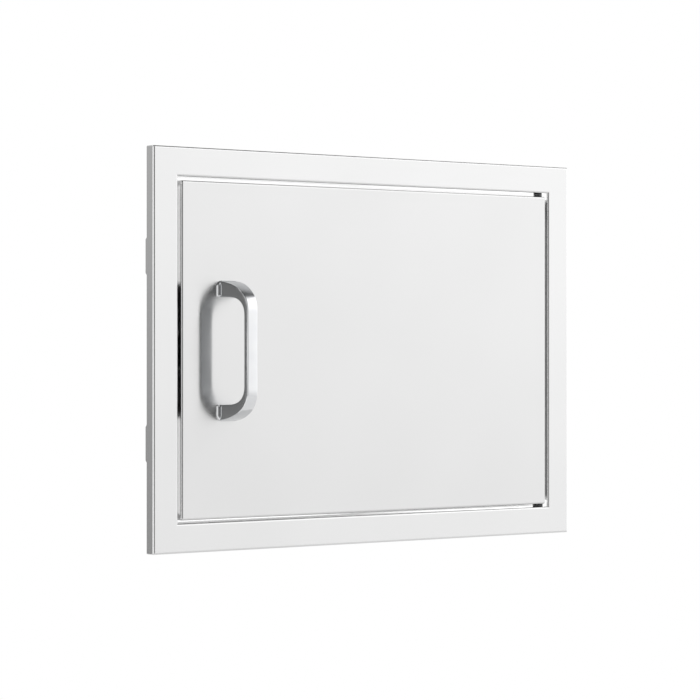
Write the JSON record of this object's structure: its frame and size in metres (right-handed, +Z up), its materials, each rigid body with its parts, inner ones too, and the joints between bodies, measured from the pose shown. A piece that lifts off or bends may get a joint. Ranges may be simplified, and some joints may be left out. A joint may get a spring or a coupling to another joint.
{
  "type": "island access door",
  "caption": "Flush single access door in a folded wall frame, hung on hidden pivot pins, with a bow handle and a magnetic catch.",
  "frame": {"origin": "centre of the opening, in the plane of the wall that the flange rests against", "axes": "+X to the right seen from the front, +Y into the wall, +Z up"},
  "size_m": [0.5716, 0.103, 0.419],
  "materials": {
    "frame_steel": "satin brushed, bright",
    "door_steel": "satin brushed along its width",
    "liner_steel": "dull mill finish",
    "mill_steel": "dull mill finish",
    "chrome": "polished chrome plate on a zinc casting",
    "screw_steel": "plain stainless",
    "rivet_steel": "plain stainless",
    "pin_steel": "turned",
    "knob_steel": "turned and fluted",
    "spring_steel": "drawn wire",
    "zinc_plate": "zinc plated, semi-bright",
    "black_nylon": "moulded, satin",
    "black_moulding": "moulded, fine texture",
    "black_rubber": "matte",
    "ferrite": "sintered, ground"
  },
  "bodies": {
    "frame": {"face_frame": "frame_steel", "upper_hinge_doubler": "mill_steel", "lower_hinge_doubler": "mill_steel", "upper_pivot_bush": "black_nylon", "lower_pivot_bush": "black_nylon", "catch_bracket": "mill_steel", "catch_housing": "black_moulding", "catch_magnet": "ferrite", "catch_pole_plates": "zinc_plate", "catch_screws": "screw_steel", "stop_bumpers": "black_rubber"},
    "door": {"door_skin": "door_steel", "door_liner": "liner_steel", "pull_handle": "chrome", "handle_spacers": "zinc_plate", "handle_washers": "screw_steel", "handle_screws": "screw_steel", "upper_pivot_bracket": "mill_steel", "lower_pivot_bracket": "mill_steel", "bracket_screws": "screw_steel", "upper_pin_spring": "spring_steel", "upper_spacer_washer": "black_nylon", "lower_pivot_pin": "pin_steel", "lower_pin_ring": "spring_steel", "lower_thrust_washer": "black_nylon", "strike_plate": "zinc_plate", "strike_rivets": "rivet_steel"},
    "upper_pin": {"upper_pivot_pin": "pin_steel", "pin_collar": "pin_steel", "pin_release_knob": "knob_steel"}
  },
  "joints": [
    {"name": "door_hinge", "type": "hinge", "parent": "frame", "child": "door", "pos_m": [0.24545, -0.0057, 0], "axis": [0, 0, 1], "range_deg": [0, 110]},
    {"name": "upper_pin_slide", "type": "slide", "parent": "door", "child": "upper_pin", "axis": [0, 0, -1], "range_m": [0, 0.008], "stiffness_N_per_m": 500, "springref_m": -0.01, "deforming": ["upper_pin_spring"]}
  ]
}
